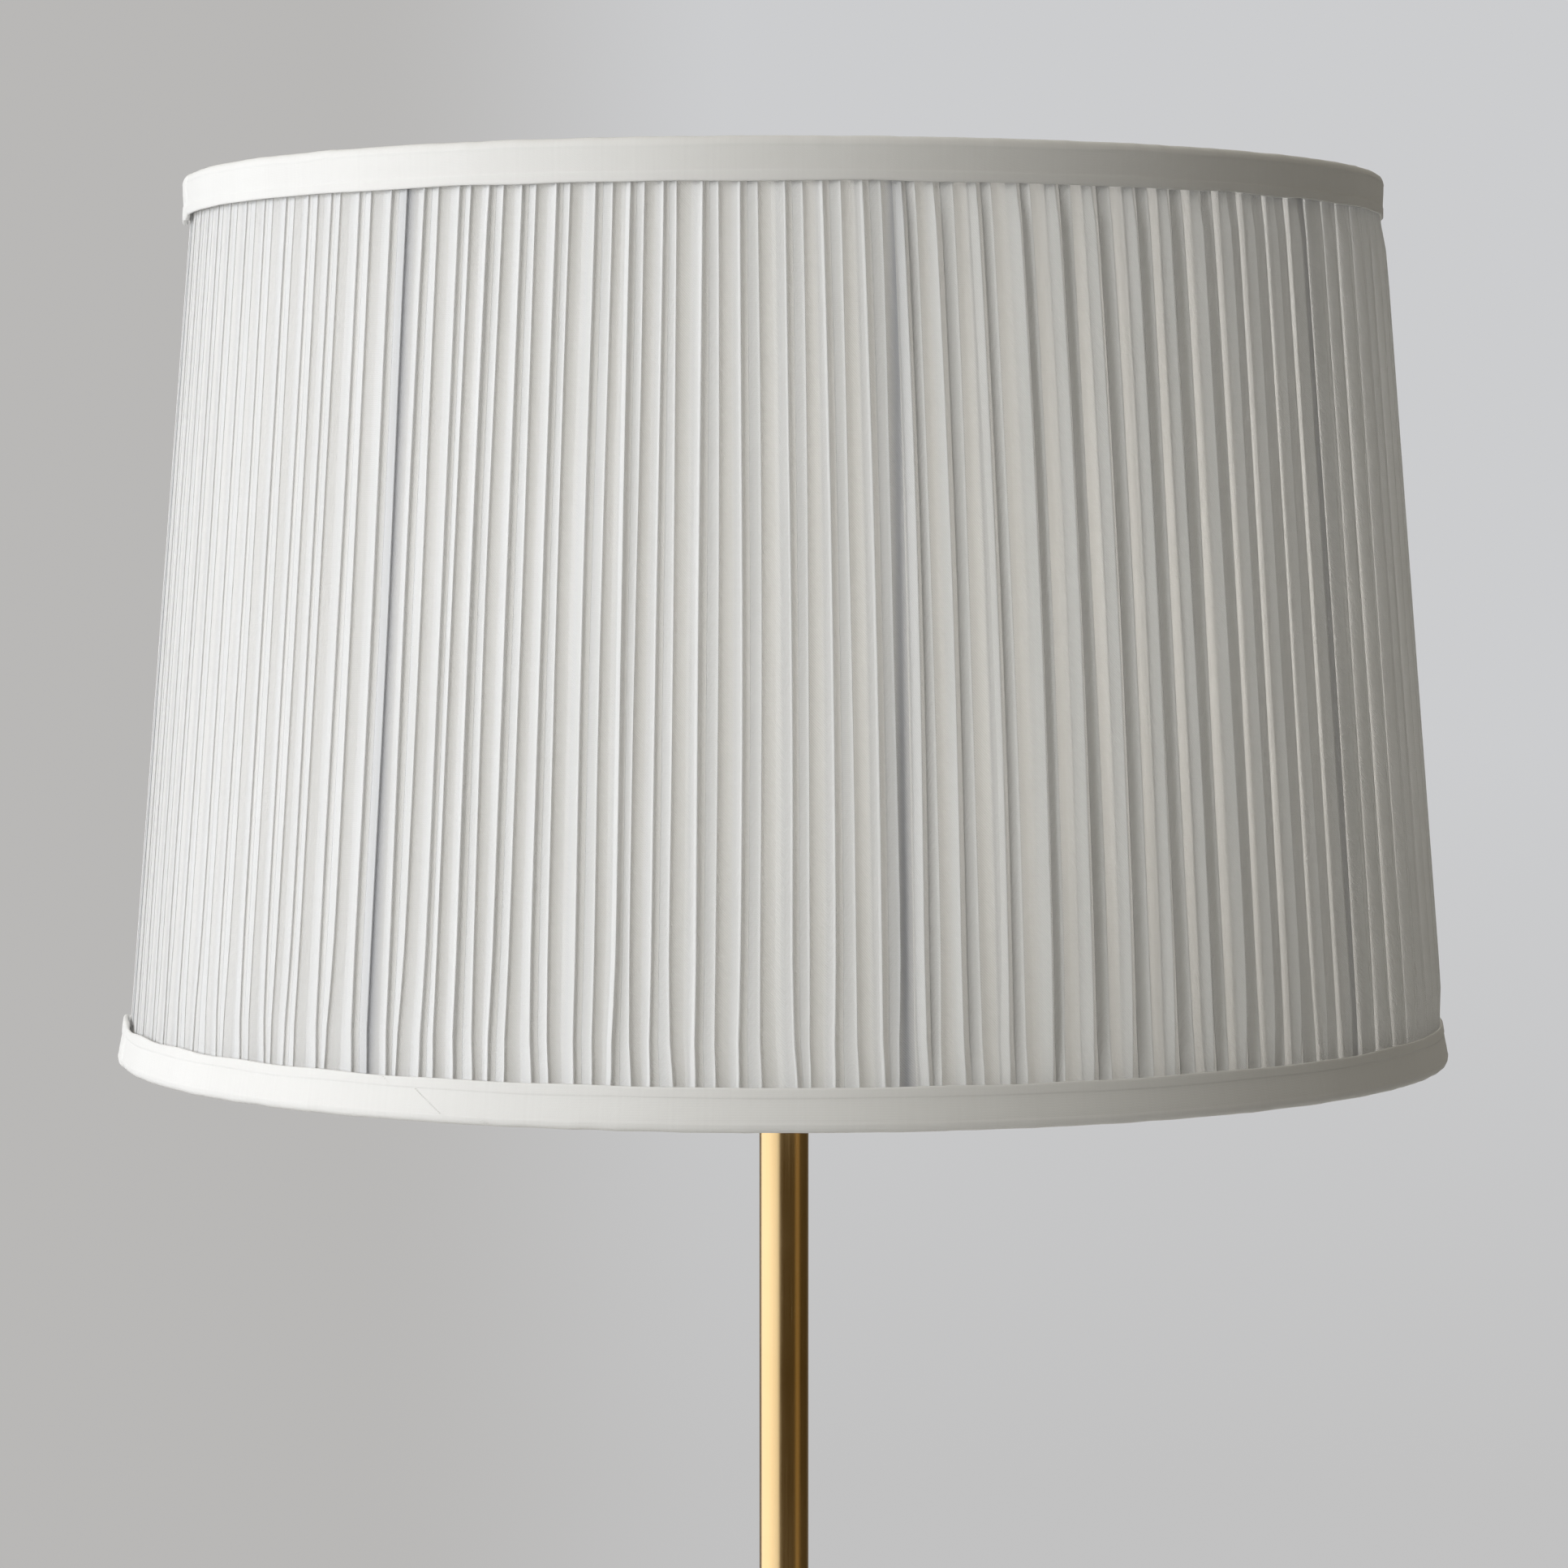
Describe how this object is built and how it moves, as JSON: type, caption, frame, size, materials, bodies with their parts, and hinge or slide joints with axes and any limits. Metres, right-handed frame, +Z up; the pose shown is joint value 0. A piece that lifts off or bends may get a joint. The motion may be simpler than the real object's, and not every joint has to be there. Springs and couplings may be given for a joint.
{
  "type": "floor lamp",
  "caption": "Straight round pole on a weighted round foot, carrying a tapered pleated drum shade on a harp and spider, with a turn-switch socket.",
  "frame": {"origin": "on the floor, under the centre of the foot, on the axis of the pole", "axes": "+Z up along the pole; -Y faces the viewer and the turn switch; the harp's legs stand at +X and -X"},
  "size_m": [0.4546, 0.4546, 1.5057],
  "materials": {
    "satin_brass": "satin, fine brushed",
    "plain_brass": "plain turned",
    "cast_iron": "as cast, black",
    "zinc_steel": "zinc plated",
    "frame_wire": "white powder coat",
    "pleated_cloth": "knife-pleated off-white cloth",
    "lining_cloth": "plain white lining",
    "binding_cloth": "off-white bias tape",
    "felt": "black felt",
    "rubber": "matt black",
    "phenolic": "black phenolic",
    "fibre_card": "brown fibre card",
    "nickel_cap": "nickel-plated",
    "frosted_glass": "white frosted"
  },
  "bodies": {
    "stand": {"base_collar": "satin_brass", "base_cover": "satin_brass", "base_felt": "felt", "base_nipple": "zinc_steel", "base_nut": "zinc_steel", "base_washer": "zinc_steel", "base_weight": "cast_iron", "cord_bushing": "rubber", "harp_saddle": "zinc_steel", "harp_stud": "plain_brass", "harp_wire": "plain_brass", "neck_cap": "satin_brass", "neck_nipple": "zinc_steel", "pole_foot_insert": "plain_brass", "pole_head_insert": "plain_brass", "pole_joint_1": "satin_brass", "pole_joint_2": "satin_brass", "pole_lower": "satin_brass", "pole_middle": "satin_brass", "pole_upper": "satin_brass", "socket_cap": "plain_brass", "socket_contact": "plain_brass", "socket_core": "phenolic", "socket_liner": "fibre_card", "socket_screw_shell": "plain_brass", "socket_shell": "plain_brass"},
    "shade": {"shade_bottom_ring": "frame_wire", "shade_bottom_trim": "binding_cloth", "shade_cover": "pleated_cloth", "shade_lining": "lining_cloth", "shade_strut_1": "frame_wire", "shade_strut_2": "frame_wire", "shade_strut_3": "frame_wire", "shade_strut_4": "frame_wire", "shade_strut_5": "frame_wire", "shade_strut_6": "frame_wire", "shade_strut_7": "frame_wire", "shade_strut_8": "frame_wire", "shade_top_ring": "frame_wire", "shade_top_trim": "binding_cloth", "spider_arm_1": "zinc_steel", "spider_arm_2": "zinc_steel", "spider_arm_3": "zinc_steel", "spider_arm_4": "zinc_steel", "spider_hub": "zinc_steel"},
    "finial_carriage": {"finial_insert": "plain_brass"},
    "finial": {"finial": "satin_brass"},
    "bulb_carriage": {"bulb_foot": "nickel_cap"},
    "bulb": {"bulb_insulator": "phenolic", "bulb_cap": "nickel_cap", "bulb_globe": "frosted_glass"},
    "switch": {"switch_stem": "plain_brass", "switch_knob": "phenolic"},
    "sleeve_left": {"harp_sleeve_left": "plain_brass"},
    "sleeve_right": {"harp_sleeve_right": "plain_brass"}
  },
  "joints": [
    {"name": "shade_turn", "type": "hinge", "parent": "stand", "child": "shade", "pos_m": [0, 0, 1.4779], "axis": [0, 0, 1], "continuous": true},
    {"name": "finial_lift", "type": "slide", "parent": "stand", "child": "finial_carriage", "axis": [0, 0, 1], "range_m": [0, 0.01319]},
    {"name": "finial_turn", "type": "hinge", "parent": "finial_carriage", "child": "finial", "pos_m": [0, 0, 1.4792], "axis": [0, 0, 1], "range_deg": [0, 5040]},
    {"name": "bulb_lift", "type": "slide", "parent": "stand", "child": "bulb_carriage", "axis": [0, 0, 1], "range_m": [0, 0.00909]},
    {"name": "bulb_turn", "type": "hinge", "parent": "bulb_carriage", "child": "bulb", "pos_m": [0, 0, 1.305], "axis": [0, 0, 1], "range_deg": [0, 900]},
    {"name": "switch_turn", "type": "hinge", "parent": "stand", "child": "switch", "pos_m": [0, -0.02, 1.291], "axis": [0, 1, 0], "continuous": true},
    {"name": "sleeve_left_slide", "type": "slide", "parent": "stand", "child": "sleeve_left", "axis": [0, 0, 1], "range_m": [0, 0.0135]},
    {"name": "sleeve_right_slide", "type": "slide", "parent": "stand", "child": "sleeve_right", "axis": [0, 0, 1], "range_m": [0, 0.0135]}
  ],
  "couplings": [
    {"joint": "finial_lift", "follows": "finial_turn", "m_per_rad": 0.00014972},
    {"joint": "bulb_lift", "follows": "bulb_turn", "m_per_rad": 0.00057751}
  ]
}
